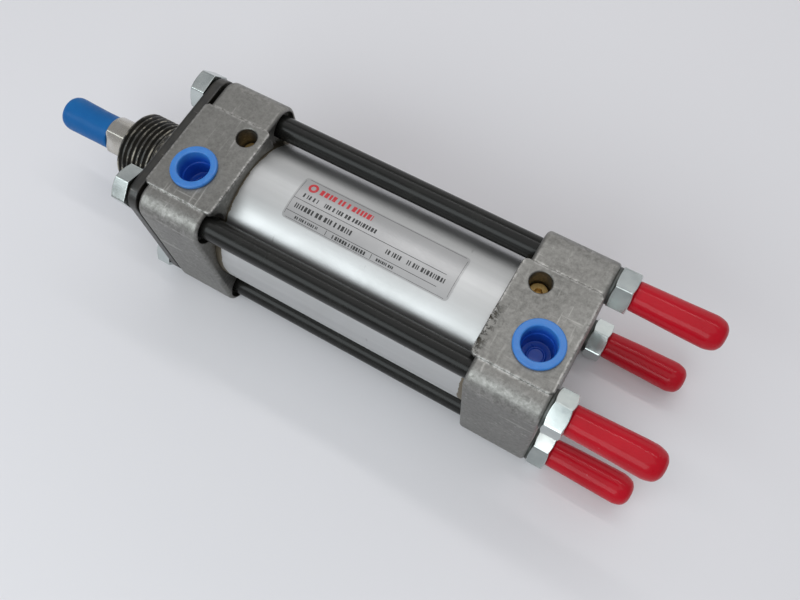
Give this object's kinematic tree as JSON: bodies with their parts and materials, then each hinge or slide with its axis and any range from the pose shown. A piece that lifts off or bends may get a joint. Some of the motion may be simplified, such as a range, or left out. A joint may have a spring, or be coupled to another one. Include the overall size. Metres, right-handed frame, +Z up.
{
  "type": "pneumatic cylinder",
  "caption": "Tie-rod pneumatic cylinder with a square head at each end, a threaded nose, a piston rod that slides out, capped tie-rod studs and plugged ports.",
  "frame": {"origin": "on the cylinder axis, at the front face of the retaining plate where the nose's plain neck begins", "axes": "+X along the axis, out of the rod end; +Z up, out of the two ports; +Y to the side the ports are offset to"},
  "size_m": [0.2417, 0.0578, 0.0592],
  "materials": {
    "cast_aluminium": "die cast, brushed and scratched, slightly warm grey",
    "barrel_aluminium": "satin bright anodised",
    "black_steel": "black oxide with worn edges",
    "black_rod_steel": "glossy black, lightly rubbed",
    "zinc_steel": "zinc plated, slightly blue",
    "rod_steel": "ground and chromed",
    "piston_aluminium": "machined",
    "bronze": "sintered bearing metal",
    "brass": "turned brass, dulled",
    "black_rubber": "moulded nitrile",
    "seal_polyurethane": "satin polyurethane",
    "wear_plastic": "filled guide band",
    "label_foil": "translucent grey foil, satin",
    "blue_plastic": "moulded polyethylene",
    "blue_vinyl": "soft dipped vinyl",
    "red_vinyl": "soft dipped vinyl, glossy"
  },
  "bodies": {
    "housing": {"front_head": "cast_aluminium", "rear_head": "cast_aluminium", "front_cartridge": "piston_aluminium", "rear_cartridge": "piston_aluminium", "barrel_tube": "barrel_aluminium", "retainer_plate": "black_steel", "threaded_nose": "black_steel", "nose_o_ring": "black_rubber", "rod_bearing": "bronze", "rod_wiper": "seal_polyurethane", "rod_seal": "seal_polyurethane", "barrel_o_rings": "black_rubber", "front_cushion_seal": "seal_polyurethane", "rear_cushion_seal": "seal_polyurethane", "tie_rods": "black_rod_steel", "front_nuts": "zinc_steel", "rear_nuts": "zinc_steel", "rear_washers": "zinc_steel", "name_label": "label_foil"},
    "piston_carrier": {"piston_seals": "black_rubber", "piston_wear_ring": "wear_plastic"},
    "rod": {"piston_rod": "rod_steel", "piston": "piston_aluminium", "piston_o_ring": "black_rubber", "front_cushion_sleeve": "piston_aluminium", "rear_cushion_nut": "rod_steel"},
    "rod_cap": {"rod_thread_cap": "blue_vinyl"},
    "front_plug": {"front_port_plug": "blue_plastic"},
    "front_screw_lift": {"front_screw_o_ring": "black_rubber"},
    "front_screw_turn": {"front_cushion_screw": "brass"},
    "rear_plug": {"rear_port_plug": "blue_plastic"},
    "rear_screw_lift": {"rear_screw_o_ring": "black_rubber"},
    "rear_screw_turn": {"rear_cushion_screw": "brass"},
    "stud_cap_1": {"stud_cap_1": "red_vinyl"},
    "stud_cap_2": {"stud_cap_2": "red_vinyl"},
    "stud_cap_3": {"stud_cap_3": "red_vinyl"},
    "stud_cap_4": {"stud_cap_4": "red_vinyl"}
  },
  "joints": [
    {"name": "rod_slide", "type": "slide", "parent": "housing", "child": "piston_carrier", "axis": [1, 0, 0], "range_m": [0, 0.05]},
    {"name": "rod_spin", "type": "hinge", "parent": "piston_carrier", "child": "rod", "pos_m": [0, 0, 0], "axis": [1, 0, 0], "continuous": true},
    {"name": "rod_cap_pull", "type": "slide", "parent": "rod", "child": "rod_cap", "axis": [1, 0, 0], "range_m": [0, 0.06]},
    {"name": "front_plug_pull", "type": "slide", "parent": "housing", "child": "front_plug", "axis": [0, 0, 1], "range_m": [0, 0.025]},
    {"name": "front_screw_lift", "type": "slide", "parent": "housing", "child": "front_screw_lift", "axis": [0, 0, 1], "range_m": [0, 0.003]},
    {"name": "front_screw_turn", "type": "hinge", "parent": "front_screw_lift", "child": "front_screw_turn", "pos_m": [-0.02415, -0.0088, 0.0216], "axis": [0, 0, 1], "range_deg": [0, 1440]},
    {"name": "rear_plug_pull", "type": "slide", "parent": "housing", "child": "rear_plug", "axis": [0, 0, 1], "range_m": [0, 0.025]},
    {"name": "rear_screw_lift", "type": "slide", "parent": "housing", "child": "rear_screw_lift", "axis": [0, 0, 1], "range_m": [0, 0.003]},
    {"name": "rear_screw_turn", "type": "hinge", "parent": "rear_screw_lift", "child": "rear_screw_turn", "pos_m": [-0.1294, -0.0088, 0.0216], "axis": [0, 0, 1], "range_deg": [0, 1440]},
    {"name": "stud_cap_1_pull", "type": "slide", "parent": "housing", "child": "stud_cap_1", "axis": [-1, 0, 0], "range_m": [0, 0.04]},
    {"name": "stud_cap_2_pull", "type": "slide", "parent": "housing", "child": "stud_cap_2", "axis": [-1, 0, 0], "range_m": [0, 0.04]},
    {"name": "stud_cap_3_pull", "type": "slide", "parent": "housing", "child": "stud_cap_3", "axis": [-1, 0, 0], "range_m": [0, 0.04]},
    {"name": "stud_cap_4_pull", "type": "slide", "parent": "housing", "child": "stud_cap_4", "axis": [-1, 0, 0], "range_m": [0, 0.04]}
  ],
  "couplings": [
    {"joint": "front_screw_turn", "follows": "front_screw_lift", "rad_per_m": 8377.6},
    {"joint": "rear_screw_turn", "follows": "rear_screw_lift", "rad_per_m": 8377.6}
  ]
}
